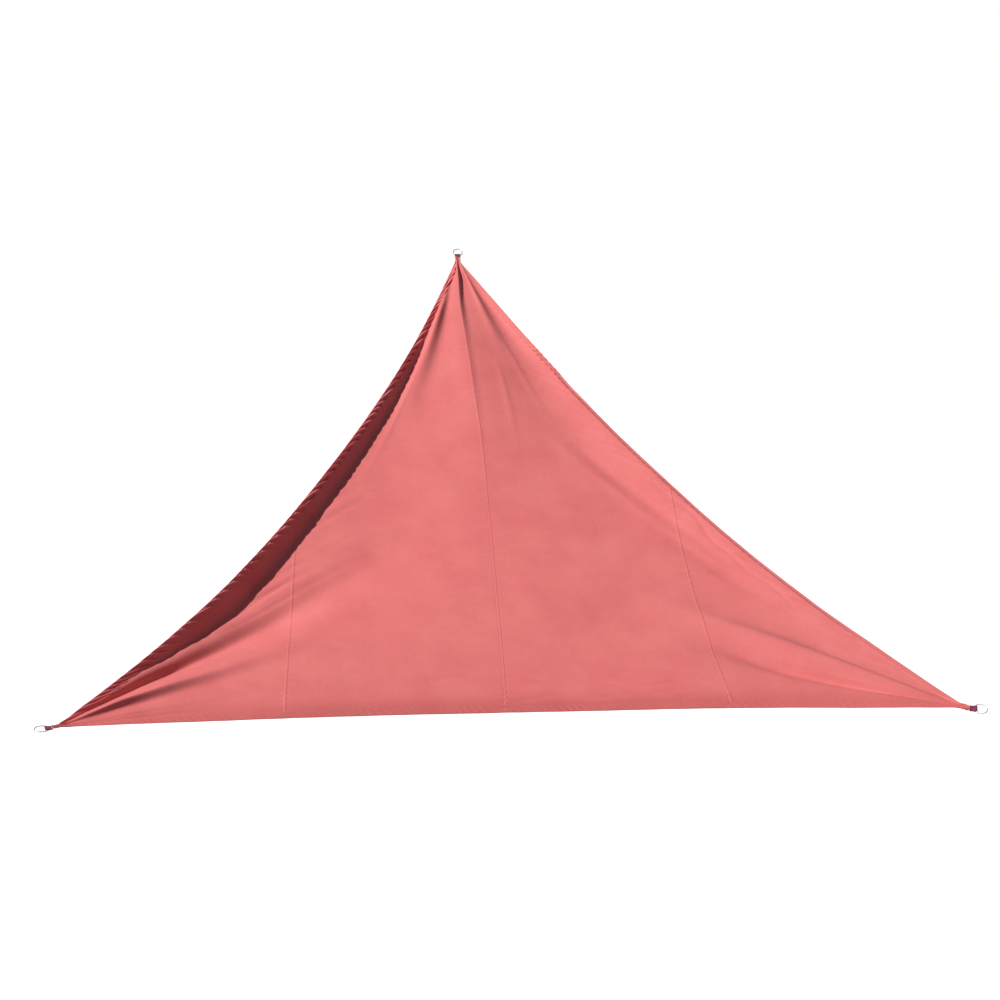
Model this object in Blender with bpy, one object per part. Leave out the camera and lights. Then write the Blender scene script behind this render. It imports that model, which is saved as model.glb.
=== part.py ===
"""Triangular shade sail, hung by a steel ring at each of its three corners.

Four panels of woven polyester are sewn side by side with felled seams and
hemmed all round. Each corner is gathered into a short neck, and a webbing
loop sewn to the neck holds a D-ring. The sail is modelled as it hangs: the
apex corner high and away, the long base edge level, low and near.

Frame: metres, +Z up, +X along the base edge, +Y up the slope. The origin is
the outer end of the apex ring. The cloth is worked out in the plane of the
three ring ends: s runs along the base from the left ring end, t runs up the
slope from the base, and n is the height square to that plane.
"""

import math

import bmesh
import bpy
import numpy as np
from mathutils import Matrix, Vector

# ---------------------------------------------------------------- sizes
SIDE = 3.6  # ring end to ring end, the same on all three sides
SLOPE = math.radians(35.6)  # slope of the plane of the three ring ends
CLOTH = 0.0024  # thickness of the panels
HEM = 0.028  # width of the hem, folded under twice
HEM_CLOTH = 0.0042  # thickness at the hem
SEAM = 0.012  # width of the felled seam
SEAM_CLOTH = 0.0034  # thickness at the seam
GAP = 0.0003  # between pieces that touch
NECK = 0.022  # width of the gathered neck at each corner
NECK_CLOTH = 0.007  # thickness of the bunched cloth in the neck

RING_LONG = 0.047
RING_WIDE = 0.046
RING_BAR = 0.005
TAB_WIDE = 0.027
WEBBING = 0.0018

# Each corner: where its ring ends, the way it is pulled and the way the neck
# runs into the cloth (degrees from the base), ring end to cloth, length of
# the neck, and how far the rope rolls the ring about its pull.
HEIGHT = SIDE * math.sqrt(3) / 2
CORNERS = {
    #         s         t       pull   neck   reach  length roll
    "apex": (SIDE / 2, HEIGHT, -93.4, -93.4, 0.064, 0.034, 0.0),
    "left": (0.0, 0.0, 13.0, 23.0, 0.066, 0.034, -15.0),
    "right": (SIDE, 0.0, 168.0, 154.0, 0.070, 0.036, -8.0),
}

# Each edge as it hangs, from corner to corner, with the sums of sines that
# draw it in from its chord, and which side of the chord the cloth is on.
EDGES = {
    #        from    to      inward  bow    lean    fill
    "left": ("left", "apex", -1, 0.166, 0.007, 0.009),
    "right": ("right", "apex", 1, 0.096, 0.012, 0.001),
    "base": ("left", "right", 1, 0.066, -0.001, 0.003),
}

# Each seam: s at its foot and at its top, how the lower end curls, and its bow.
SEAMS = {
    #         foot   top    curl bow
    "left": (0.912, 0.986, 1.0, 0.000),
    "centre": (1.749, 1.796, 1.0, 0.028),
    "right": (2.638, 2.598, 3.0, 0.000),
}

# ---------------------------------------------------------------- the hung form
SAG = 0.057  # the middle of each edge hangs this far below the ring ends' plane

# The margin inside each edge falls (or rises, if negative) from the taut hem
# to the slack cloth: share of the way along the edge, and the fall there.
MARGIN_FALL = {
    "left": ((0.0, 0.0), (0.13, 0.025), (0.20, 0.057), (0.30, 0.076), (0.36, 0.074),
             (0.48, 0.060), (0.66, 0.050), (0.80, 0.032), (0.88, 0.012), (1.0, 0.0)),
    "right": ((0.0, 0.0), (0.10, 0.008), (0.40, 0.030), (0.70, 0.034), (0.90, 0.014), (1.0, 0.0)),
    "base": ((0.0, 0.0), (0.08, -0.010), (0.30, -0.034), (0.70, -0.034), (0.92, -0.010), (1.0, 0.0)),
}
# Where each margin's fall starts, its least width, and how much its width
# grows with the fall.
MARGIN_SHAPE = {
    #        start  width  growth
    "left": (0.012, 0.012, 0.85),
    "right": (0.000, 0.200, 0.0),
    "base": (-0.045, 0.115, 0.0),
}
MARGIN_BLEND = 0.02  # how close to a hem its own margin rules

# The folds that fan out from each corner. share is how far round the corner
# the crest lies, from its first edge (0) to its second (1), at 0.2 m and at
# 1 m out. near and far are the widths of the crest's two flanks, as shares.
# The fold grows from start to peak and is gone at end, in metres out.
FOLDS = (
    # corner  share_in share_out near   far   height start  peak  end
    ("apex", 0.105, 0.088, 0.050, 0.050, 0.020, 0.04, 0.40, 1.60),
    ("apex", 0.395, 0.430, 0.200, 0.072, 0.025, 0.01, 0.20, 0.85),
    ("apex", 0.420, 0.460, 0.260, 0.200, 0.020, 0.20, 0.90, 2.30),
    ("apex", 0.750, 0.880, 0.140, 0.045, -0.027, 0.02, 0.70, 2.00),
    ("left", 0.240, 0.290, 0.120, 0.055, -0.030, 0.01, 0.38, 1.50),
    ("left", 0.345, 0.385, 0.060, 0.075, 0.026, 0.01, 0.28, 1.35),
    ("left", 0.640, 0.640, 0.100, 0.150, 0.008, 0.05, 0.40, 1.20),
    ("right", 0.235, 0.245, 0.080, 0.055, 0.028, 0.02, 0.45, 1.50),
    ("right", 0.735, 0.595, 0.120, 0.048, 0.032, 0.02, 0.50, 1.90),
    ("right", 0.840, 0.840, 0.070, 0.040, 0.009, 0.40, 1.10, 1.80),
)

# Gathers of the neck: how many, how deep, and how far out they run flat.
GATHERS = 2.5
GATHER_DEPTH = 0.002
GATHER_REACH = 0.16
TWIST_REACH = 0.15  # how far out the neck turns from the webbing's roll to the cloth's lie

# ---------------------------------------------------------------- mesh
ACROSS_CORNER = 15  # free rows across a corner panel, between the hem rows
ACROSS_CENTRE = 11  # free columns across a centre panel
ALONG_CORNER = 20
ALONG_HEM = 19
HEM_ROWS = (0.0, 0.010, HEM, 0.060, 0.095)  # rows beside a hem, metres in


def smooth(x):
    """0 below 0, 1 above 1, and an S-curve between."""
    x = np.clip(x, 0.0, 1.0)
    return x * x * (3 - 2 * x)


def turn(length, degrees):
    a = math.radians(degrees)
    return np.array([length * math.cos(a), length * math.sin(a)])


def table(rows, x):
    """Reads a table of (place, value) rows, rounded off between its rows."""
    places, values = np.array(rows).T
    i = np.clip(np.searchsorted(places, x, side="right") - 1, 0, len(places) - 2)
    step = smooth((x - places[i]) / (places[i + 1] - places[i]))
    straight = np.clip((x - places[i]) / (places[i + 1] - places[i]), 0.0, 1.0)
    return values[i] + (values[i + 1] - values[i]) * (step + straight) / 2


# ---------------------------------------------------------------- the cut and its edges
def neck_side(corner, left_hand, along):
    """A side of the neck, from the webbing (along 0) to where it opens out (along 1)."""
    s, t, pull, neck, reach, length, _ = CORNERS[corner]
    middle = np.array([s, t]) + turn(reach, pull) + turn(along * length, neck)
    facing = pull + (neck - pull) * along
    return middle + turn(NECK / 2, facing + (90 if left_hand else -90))


# Which side of each neck an edge runs to: True on the left looking in.
NECK_SIDE = {
    ("left", "left"): True,
    ("left", "apex"): False,
    ("right", "right"): False,
    ("right", "apex"): True,
    ("base", "left"): False,
    ("base", "right"): True,
}


class Edge:
    """One hemmed edge: its outline from webbing to webbing, and places beside it."""

    def __init__(self, name):
        first, last, inward, bow, lean, fill = EDGES[name]
        self.start = neck_side(first, NECK_SIDE[name, first], 1)
        end = neck_side(last, NECK_SIDE[name, last], 1)
        self.length = math.dist(self.start, end)
        self.chord = (end - self.start) / self.length
        self.inward = np.array([-self.chord[1], self.chord[0]]) * inward
        self.along = np.linspace(0, 1, 401)
        pi = math.pi * self.along
        self.drawn_in = bow * np.sin(pi) + lean * np.sin(2 * pi) + fill * np.sin(3 * pi)
        bowed = (
            self.start
            + np.outer(self.along * self.length, self.chord)
            + np.outer(self.drawn_in, self.inward)
        )
        self.points = np.vstack(
            [
                neck_side(first, NECK_SIDE[name, first], 0),
                bowed,
                neck_side(last, NECK_SIDE[name, last], 0),
            ]
        )

    def beside(self, s, t):
        """How far along the edge (0 to 1) and how far inside it a place lies."""
        x, y = s - self.start[0], t - self.start[1]
        along = (x * self.chord[0] + y * self.chord[1]) / self.length
        inside = x * self.inward[0] + y * self.inward[1]
        return along, inside - np.interp(along, self.along, self.drawn_in)


EDGE = {name: Edge(name) for name in EDGES}

# Each corner's first and second edge, and whether an edge ends there.
CORNER_EDGES = {"apex": ("left", "right"), "left": ("left", "base"), "right": ("base", "right")}


def fan_sides(corner):
    """For both edges of a corner: distance from the webbing, and the angle there."""
    s, t, pull, _, reach, _, _ = CORNERS[corner]
    centre = np.array([s, t]) + turn(reach, pull)
    sides = []
    for name in CORNER_EDGES[corner]:
        points = EDGE[name].points
        if EDGES[name][1] == corner:
            points = points[::-1]
        d = points - centre
        sides.append((np.hypot(d[:, 0], d[:, 1]), np.unwrap(np.arctan2(d[:, 1], d[:, 0]))))
    return centre, sides


FAN = {corner: fan_sides(corner) for corner in CORNERS}


def fan(corner, s, t):
    """How far out from a corner a place lies, and its share of the way round."""
    centre, ((r_a, angle_a), (r_b, angle_b)) = FAN[corner]
    x, y = s - centre[0], t - centre[1]
    out = np.hypot(x, y)
    first = np.interp(out, r_a, angle_a)
    second = np.interp(out, r_b, angle_b)
    opening = (second - first + math.pi) % (2 * math.pi) - math.pi
    offset = (np.arctan2(y, x) - first + math.pi) % (2 * math.pi) - math.pi
    return out, offset / opening


# ---------------------------------------------------------------- height of the cloth
def margins(s, t):
    """Fall of the cloth from its taut hems, each edge's own blended by nearness."""
    total, weights = 0.0, 0.0
    for name in EDGES:
        along, inside = EDGE[name].beside(s, t)
        start, width, growth = MARGIN_SHAPE[name]
        fall = table(MARGIN_FALL[name], np.clip(along, 0.0, 1.0))
        width = width + growth * np.abs(fall)
        weight = (np.maximum(inside, 0.0) + MARGIN_BLEND) ** -2.0
        total = total + weight * fall * smooth((inside - start) / width)
        weights = weights + weight
    return total / weights


def fold(row, out, share):
    _, share_in, share_out, near, far, height, start, peak, end = row
    crest = share_in + (share_out - share_in) * (out - 0.2) / 0.8
    width = np.where(share < crest, near, far)
    grown = smooth((out - start) / (peak - start)) * (1 - smooth((out - peak) / (end - peak)))
    return height * grown * np.exp(-(((share - crest) / width) ** 2))


def twist(corner, s, t):
    """Height that rolls the cloth at a corner about its pull, as its webbing is rolled."""
    pull, roll = CORNERS[corner][2], CORNERS[corner][6]
    left_hand = turn(1.0, pull + 90)
    centre = FAN[corner][0]
    beside = (s - centre[0]) * left_hand[0] + (t - centre[1]) * left_hand[1]
    return math.tan(math.radians(roll)) * beside


def surface(s, t):
    """Height n of the cloth's middle over the ring ends' plane."""
    to_apex = t / HEIGHT
    to_right = (s - SIDE / 2 * to_apex) / SIDE
    to_left = 1 - to_apex - to_right
    n = -4 * SAG * (to_apex * to_right + to_right * to_left + to_left * to_apex)
    n = n - margins(s, t)
    for corner in CORNERS:
        out, share = fan(corner, s, t)
        for row in FOLDS:
            if row[0] == corner:
                n = n + fold(row, out, share)
        gathered = 1 - smooth(out / GATHER_REACH)
        n = n + GATHER_DEPTH * gathered * np.cos(2 * math.pi * GATHERS * share)
        n = n + twist(corner, s, t) * (1 - smooth(out / TWIST_REACH))
    return n


def thickness(s, t, seam_distance):
    """The cloth's thickness: thicker in the hem, at the felled seam and in the necks."""
    edge = np.min([EDGE[name].beside(s, t)[1] for name in EDGES], axis=0)
    thick = np.where(edge < HEM + 0.001, HEM_CLOTH, CLOTH)
    thick = np.where(seam_distance < SEAM + 0.001, np.maximum(thick, SEAM_CLOTH), thick)
    for corner in CORNERS:
        length = CORNERS[corner][5]
        out, _ = fan(corner, s, t)
        bunched = 1 - smooth((out - length / 2) / (2 * length))
        thick = thick + (NECK_CLOTH - thick) * bunched
    return thick


# The plane of the ring ends in the part's frame.
ACROSS = np.array([1.0, 0.0, 0.0])
UP_SLOPE = np.array([0.0, math.cos(SLOPE), math.sin(SLOPE)])
SQUARE = np.array([0.0, -math.sin(SLOPE), math.cos(SLOPE)])


def place(s, t, n):
    """Points of the part's frame from s, t and n."""
    return (
        np.multiply.outer(s - SIDE / 2, ACROSS)
        + np.multiply.outer(t - HEIGHT, UP_SLOPE)
        + np.multiply.outer(n, SQUARE)
    )


# ---------------------------------------------------------------- seams
def edge_height(name, s):
    """t of an edge at a given s."""
    points = EDGE[name].points
    order = np.argsort(points[:, 0])
    return np.interp(s, points[order, 0], points[order, 1])


def seam_ends(name):
    foot, top, _, _ = SEAMS[name]
    if name == "centre":
        upper = (neck_side("apex", True, 0) + neck_side("apex", False, 0)) / 2
        return (foot, float(edge_height("base", foot))), tuple(upper)
    return (foot, float(edge_height("base", foot))), (top, float(edge_height(name, top)))


SEAM_ENDS = {name: seam_ends(name) for name in SEAMS}


def seam_point(name, share):
    """s and t on a seam, share of the way up from its foot."""
    (s0, t0), (s1, t1) = SEAM_ENDS[name]
    _, _, curl, bow = SEAMS[name]
    s = s1 + (s0 - s1) * (1 - share) ** curl + bow * np.sin(math.pi * share)
    return np.stack([s, t0 + (t1 - t0) * share], axis=-1)


# ---------------------------------------------------------------- panels
def rows_between(length, free):
    """Shares of the way between two hems: rows beside both, evenly spread between."""
    beside = np.array(HEM_ROWS) / length
    middle = np.linspace(beside[-1], 1 - beside[-1], free + 2)[1:-1]
    return np.concatenate([beside, middle, 1 - beside[::-1]])


def seam_rows(name):
    (_, t0), (_, t1) = SEAM_ENDS[name]
    return rows_between(t1 - t0, ACROSS_CORNER)


def eased(count, power):
    """Shares from 0 to 1, closer together near 0."""
    return np.linspace(0, 1, count + 1) ** power


def path_to(points, s_end):
    """An edge's outline from a corner to where it meets a seam, by share of its length."""
    step = np.hypot(*np.diff(points, axis=0).T)
    length = np.concatenate([[0], np.cumsum(step)])
    order = np.argsort(points[:, 0])
    total = np.interp(s_end, points[order, 0], length[order])
    return lambda share: np.stack(
        [np.interp(share * total, length, points[:, k]) for k in (0, 1)], axis=-1
    )


def corner_panel(corner):
    """Grid of (s, t) over a corner panel, from the neck to the seam and from base to top edge."""
    base = EDGE["base"].points if corner == "left" else EDGE["base"].points[::-1]
    (foot, _), (top, _) = SEAM_ENDS[corner]
    lower = path_to(base, foot)
    upper = path_to(EDGE[corner].points, top)
    along = eased(ALONG_CORNER, 1.35)
    along = np.insert(along, -1, 1 - SEAM / abs(foot - CORNERS[corner][0]))
    across = seam_rows(corner)
    low, high = lower(along), upper(along)
    grid = low[:, None] + (high - low)[:, None] * across[None, :, None]
    # the last columns follow the seam's curve
    curve = seam_point(corner, across) - grid[-1]
    grid += curve[None] * (along**6)[:, None, None]
    return grid


def centre_panel(hand):
    """Grid of (s, t) over a centre panel, from apex to base and from its outer side to the centre seam."""
    (_, t_foot), (_, t_top) = SEAM_ENDS[hand]
    (_, c_foot), (_, c_top) = SEAM_ENDS["centre"]
    apex = EDGE[hand].points[::-1]
    t_neck = apex[0, 1]
    # shares of the way down, with the hem's rows first and then the seam's
    hem_part = (t_neck - t_top) / (t_neck - t_foot)
    down_hem = eased(ALONG_HEM, 1.5)[:-1] * hem_part
    down_seam = hem_part + (1 - hem_part) * (1 - seam_rows(hand)[::-1])
    down = np.concatenate([down_hem, down_seam])
    t_outer = t_neck + (t_foot - t_neck) * down
    hem_line = np.stack([np.interp(-t_outer, -apex[:, 1], apex[:, 0]), t_outer], axis=-1)
    share = np.clip((t_outer - t_foot) / (t_top - t_foot), 0, 1)
    seam_line = seam_point(hand, share)
    outer = np.where((down < hem_part - 1e-9)[:, None], hem_line, seam_line)
    inner = seam_point("centre", 1 - down)
    width = abs(inner[-1, 0] - outer[-1, 0])
    beside = np.array(HEM_ROWS) / width
    middle = np.linspace(beside[-1], 1 - SEAM / width, ACROSS_CENTRE + 1)
    across = np.concatenate([beside[:-1], middle, [1.0]])
    grid = outer[:, None] + (inner - outer)[:, None] * across[None, :, None]
    # the lowest rows follow the base edge's curve
    bow = edge_height("base", grid[-1, :, 0]) - grid[-1, :, 1]
    grid[:, :, 1] += bow[None] * (down**8)[:, None]
    return grid


def cloth_material(name, color):
    material = bpy.data.materials.new(name)
    material.use_nodes = True
    shader = material.node_tree.nodes["Principled BSDF"]
    shader.inputs["Base Color"].default_value = (*color, 1)
    shader.inputs["Roughness"].default_value = 0.85
    shader.inputs["Metallic"].default_value = 0.0
    return material


def steel_material():
    material = bpy.data.materials.new("steel")
    material.use_nodes = True
    shader = material.node_tree.nodes["Principled BSDF"]
    shader.inputs["Base Color"].default_value = (0.62, 0.63, 0.64, 1)
    shader.inputs["Roughness"].default_value = 0.28
    shader.inputs["Metallic"].default_value = 1.0
    return material


def add_object(name, bm, material, smooth_angle=None):
    bmesh.ops.recalc_face_normals(bm, faces=bm.faces[:])
    mesh = bpy.data.meshes.new(name)
    bm.to_mesh(mesh)
    bm.free()
    if smooth_angle is not None:
        mesh.shade_smooth()
        mesh.set_sharp_from_angle(angle=math.radians(smooth_angle))
    mesh.materials.append(material)
    obj = bpy.data.objects.new(name, mesh)
    bpy.context.scene.collection.objects.link(obj)
    return obj


def shrink_to_gap(grid):
    """Draws a panel's sides that meet a seam or a tab in by half of the gap."""
    inner = grid.copy()
    for axis in (0, 1):
        line = np.moveaxis(inner, axis, 0)
        for end, next_to in ((0, 1), (-1, -2)):
            step = line[next_to] - line[end]
            size = np.maximum(np.hypot(step[..., 0], step[..., 1]), 1e-6)[..., None]
            line[end] += step / size * (GAP / 2)
    return inner


def build_panel(name, grid, material, felled):
    """One panel: a grid pulled into a slab, then every point laid on the hung surface."""
    rows, columns = grid.shape[:2]
    grid = shrink_to_gap(grid)
    s, t = grid[..., 0], grid[..., 1]
    n = surface(s, t)
    # slope of the surface, so that the thickness is square to the cloth
    step = 0.002
    fall = np.hypot(
        (surface(s + step, t) - surface(s - step, t)) / (2 * step),
        (surface(s, t + step) - surface(s, t - step)) / (2 * step),
    )
    half = thickness(s, t, felled) / 2 * np.minimum(np.sqrt(1 + fall**2), 1.8)
    bm = bmesh.new()
    bmesh.ops.create_grid(bm, x_segments=rows - 1, y_segments=columns - 1, size=0.5)
    slab = bmesh.ops.extrude_face_region(bm, geom=bm.faces[:])
    lifted = [v for v in slab["geom"] if isinstance(v, bmesh.types.BMVert)]
    bmesh.ops.translate(bm, verts=lifted, vec=(0, 0, 1))
    for v in bm.verts:
        i = round((v.co.x + 0.5) * (rows - 1))
        j = round((v.co.y + 0.5) * (columns - 1))
        side = 1 if v.co.z > 0.5 else -1
        v.co = place(s[i, j], t[i, j], n[i, j] + side * half[i, j])
    return add_object(name, bm, material, 40)


def distance_to_side(grid, axis):
    """How far each point of a grid is from the grid's last line along an axis."""
    line = np.moveaxis(grid, axis, 0)
    d = np.hypot(*np.moveaxis(line - line[-1:], -1, 0))
    return np.moveaxis(d, 0, axis)


def build_cloth():
    cloth = cloth_material("coral_polyester", (0.78, 0.17, 0.15))
    for corner in ("left", "right"):
        outer = corner_panel(corner)
        build_panel(f"panel_{corner}", outer, cloth, distance_to_side(outer, 0))
        inner = centre_panel(corner)
        felled = distance_to_side(inner, 1) if corner == "left" else np.ones(inner.shape[:2])
        build_panel(f"panel_centre_{corner}", inner, cloth, felled)


# ---------------------------------------------------------------- rings and webbing
def corner_frame(corner):
    """The ring's frame: X from the ring's outer end to the cloth, Z square to the ring."""
    s, t, pull, _, reach, _, roll = CORNERS[corner]
    end = np.array([s, t])
    cloth = end + turn(reach, pull)
    tip = place(end[0], end[1], 0.0)
    neck = place(cloth[0], cloth[1], surface(cloth[0], cloth[1]))
    x = Vector(neck - tip).normalized()
    y = Vector(SQUARE).cross(x).normalized()
    frame = Matrix((x, y, x.cross(y))).transposed().to_4x4()
    return Matrix.Translation(tip) @ frame @ Matrix.Rotation(math.radians(roll), 4, "X")


def ring_line():
    """The ring's centre line: a half circle outside, straight legs and a straight bar inside."""
    half = (RING_WIDE - RING_BAR) / 2
    near = RING_BAR / 2 + half
    far = RING_LONG - RING_BAR / 2
    corner = 0.006
    flats = 9
    reach = half / math.cos(math.pi / (2 * flats))
    line = []
    for k in range(flats + 1):
        a = math.pi / 2 + math.pi * k / flats
        line.append((near + reach * math.cos(a), min(half, max(-half, reach * math.sin(a)))))
    for side, first, last in ((-1, -90, 0), (1, 0, 90)):
        for k in range(4):
            a = math.radians(first + (last - first) * k / 3)
            x = far - corner + corner * math.cos(a)
            line.append((x, side * (half - corner) + corner * math.sin(a)))
    return line


def build_ring(corner, steel):
    """A bar of eight flats swept round the ring's line and closed on itself."""
    line = ring_line()
    sides = 8
    radius = RING_BAR / 2 / math.cos(math.pi / sides)
    bm = bmesh.new()
    loops = []
    for k, (x, y) in enumerate(line):
        before = Vector(line[k - 1])
        after = Vector(line[(k + 1) % len(line)])
        into = (Vector((x, y)) - before).normalized()
        away = (after - Vector((x, y))).normalized()
        mitre = (into + away).normalized()
        widen = 1 / mitre.dot(into)
        outward = Vector((mitre.y, -mitre.x, 0)) * widen
        loop = []
        for m in range(sides):
            a = 2 * math.pi * (m + 0.5) / sides
            rise = Vector((0, 0, math.sin(a) * radius))
            loop.append(bm.verts.new(Vector((x, y, 0)) + outward * math.cos(a) * radius + rise))
        loops.append(loop)
    for k in range(len(loops)):
        here, after = loops[k], loops[(k + 1) % len(loops)]
        for m in range(sides):
            n = (m + 1) % sides
            bm.faces.new((here[m], here[n], after[n], after[m]))
    ring = add_object(f"ring_{corner}", bm, steel, 50)
    ring.matrix_world = corner_frame(corner)
    return ring


def tab_outline(reach):
    """Side view of the webbing loop: round the ring's bar, then both layers laid together."""
    bar = RING_LONG - RING_BAR / 2
    hole = RING_BAR / 2 + 0.0005
    skin = hole + WEBBING
    end = reach - GAP
    shut = bar + 0.011  # where the two layers meet
    outer, inner = [], []
    steps = 10
    for k in range(steps + 1):
        a = math.radians(75 + 210 * k / steps)
        outer.append((bar + skin * math.cos(a), skin * math.sin(a)))
        inner.append((bar + hole * math.cos(a), hole * math.sin(a)))
    outer.append((shut, -WEBBING))
    outer.append((end, -WEBBING))
    outer.append((end, WEBBING))
    outer.append((shut, WEBBING))
    inner.append((shut - 0.0015, 0.0))
    return outer, inner


def build_tab(corner, webbing):
    """The webbing loop: its side view with the bar's hole, drawn out to the strap's width."""
    outer, inner = tab_outline(CORNERS[corner][4])
    bm = bmesh.new()
    rims = []
    for side in (-TAB_WIDE / 2, TAB_WIDE / 2):
        rims.append([[bm.verts.new((x, side, z)) for x, z in loop] for loop in (outer, inner)])
    for low, high in zip(*rims):
        for k in range(len(low)):
            after = (k + 1) % len(low)
            bm.faces.new((low[k], low[after], high[after], high[k]))
    for rim in rims:
        edges = []
        for loop in rim:
            for k in range(len(loop)):
                pair = (loop[k], loop[(k + 1) % len(loop)])
                edges.append(bm.edges.get(pair))
        bmesh.ops.triangle_fill(bm, edges=edges, use_beauty=True)
    tab = add_object(f"tab_{corner}", bm, webbing, 40)
    tab.matrix_world = corner_frame(corner)
    return tab


def build_corners():
    webbing = cloth_material("maroon_webbing", (0.13, 0.012, 0.04))
    steel = steel_material()
    for corner in CORNERS:
        build_tab(corner, webbing)
        build_ring(corner, steel)


def main():
    for obj in list(bpy.data.objects):
        bpy.data.objects.remove(obj, do_unlink=True)
    build_cloth()
    build_corners()


main()
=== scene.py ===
import math

import bmesh
import bpy
import numpy as np
from mathutils import Matrix, Vector


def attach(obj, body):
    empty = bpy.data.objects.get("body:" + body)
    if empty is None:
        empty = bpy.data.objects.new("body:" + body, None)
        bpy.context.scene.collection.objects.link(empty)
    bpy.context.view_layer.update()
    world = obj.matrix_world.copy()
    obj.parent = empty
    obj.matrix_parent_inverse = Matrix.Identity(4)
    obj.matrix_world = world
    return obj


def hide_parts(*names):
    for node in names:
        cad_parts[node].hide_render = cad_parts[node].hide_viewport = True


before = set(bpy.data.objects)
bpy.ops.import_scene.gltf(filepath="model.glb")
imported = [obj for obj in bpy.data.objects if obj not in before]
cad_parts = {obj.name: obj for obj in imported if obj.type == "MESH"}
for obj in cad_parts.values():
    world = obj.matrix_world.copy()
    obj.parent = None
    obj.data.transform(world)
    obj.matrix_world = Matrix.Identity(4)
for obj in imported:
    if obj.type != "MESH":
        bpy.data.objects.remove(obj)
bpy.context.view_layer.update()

# ------------------------ the cloth panels
# Four panels of coral woven polyester, cut along the slope of the sail and
# sewn side by side. The cloth hangs stretched between the three corners, with
# slack margins beside the taut hems and folds that fan out from each corner.
SIDE = 3.6  # ring end to ring end, the same on all three sides
SLOPE = math.radians(35.6)  # slope of the plane of the three ring ends
HEIGHT = SIDE * math.sqrt(3) / 2
NECK = 0.022  # width of the gathered neck at each corner
HEM = 0.028
SEAM = 0.012
CLOTH_THIN = 0.0010  # thickness of one layer of the cloth
MOST_UPRIGHT = 2.2  # the sheet's upright thickness grows on a slope by this at most
# Painted shade beside the base: the cloth's colour is painted darker there, fully up to the first
# of these distances in from the base's rim, then fading out over the second.
BASE_SHADE_FULL, BASE_SHADE_FADE = 0.02, 0.10  # the deeper colour beside the base, and its fade
TUCK = 0.0235  # a panel ends this far inside the hem's rim, under the hem
SEAM_GAP = 0.0004  # and a centre panel this far from a seam's line

# Each corner: where its ring ends, the way it is pulled and the way the neck
# runs into the cloth (degrees from the base), ring end to cloth, length of
# the neck, and how far the rope rolls the ring about its pull.
CORNERS = {
    #         s         t       pull   neck   reach  length roll
    "apex": (SIDE / 2, HEIGHT, -93.4, -93.4, 0.064, 0.034, 0.0),
    "left": (0.0, 0.0, 13.0, 23.0, 0.066, 0.034, -15.0),
    "right": (SIDE, 0.0, 168.0, 154.0, 0.070, 0.036, -8.0),
}

# Each edge as it hangs, from corner to corner, with the sums of sines that
# draw it in from its chord, and which side of the chord the cloth is on.
EDGES = {
    #        from    to      inward  bow    lean    fill
    "left": ("left", "apex", -1, 0.166, 0.007, 0.009),
    "right": ("right", "apex", 1, 0.096, 0.012, 0.001),
    "base": ("left", "right", 1, 0.066, -0.001, 0.003),
}

# Each seam: s at its foot and at its top, how the lower end curls, and its bow.
SEAMS = {
    #         foot   top    curl bow
    "left": (0.912, 0.986, 1.0, 0.000),
    "centre": (1.749, 1.796, 1.0, 0.028),
    "right": (2.620, 2.580, 4.5, 0.000),
}

# How far the centre seam is drawn to the left, by how far it is below the apex,
# and how high it stands there over the cloth on its right.
SEAM_DRIFT = (
    (0.0, 0.0), (0.12, -0.012), (0.33, -0.024), (0.60, -0.016),
    (0.85, -0.011), (1.30, 0.0), (4.0, 0.0),
)
SEAM_STEP = (
    (0.0, 0.0), (0.25, 0.002), (0.50, 0.005), (0.80, 0.005),
    (1.30, 0.0015), (1.80, 0.0), (4.0, 0.0),
)
STEP_WIDE = (0.060, 0.016)  # how far that step runs out on its left and right

SAG = 0.057  # the middle of each edge hangs this far below the ring ends' plane

# The margin inside each edge falls (or rises, if negative) from the taut hem
# to the slack cloth: share of the way along the edge, and the fall there.
MARGIN_FALL = {
    "left": (
        (0.0, 0.0), (0.10, 0.012), (0.165, 0.040), (0.22, 0.062), (0.28, 0.076), (0.34, 0.072),
        (0.48, 0.060), (0.66, 0.050), (0.80, 0.032), (0.88, 0.012), (1.0, 0.0),
    ),
    "right": (
        (0.0, 0.0), (0.10, 0.008), (0.40, 0.030), (0.60, 0.028),
        (0.80, 0.014), (0.92, 0.004), (1.0, 0.0),
    ),
    "base": (
        (0.0, 0.0), (0.08, -0.010), (0.30, -0.034), (0.70, -0.034), (0.92, -0.010), (1.0, 0.0),
    ),
}
# How far inside the rim the fall starts (outside it, if negative), by the same share.
MARGIN_START = {
    "left": (
        (0.0, 0.004), (0.12, 0.001), (0.32, 0.002), (0.46, 0.009), (0.60, 0.009), (1.0, 0.011),
    ),
    "right": ((0.0, 0.0), (1.0, 0.0)),
    "base": ((0.0, -0.045), (1.0, -0.045)),
}
# How wide the fall is, and how much wider for each metre that it falls.
MARGIN_WIDTH = {"left": (0.012, 0.72), "right": (0.200, 0.0), "base": (0.115, 0.0)}
MARGIN_BLEND = 0.02  # places nearer than this to two edges take about half of each

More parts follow.
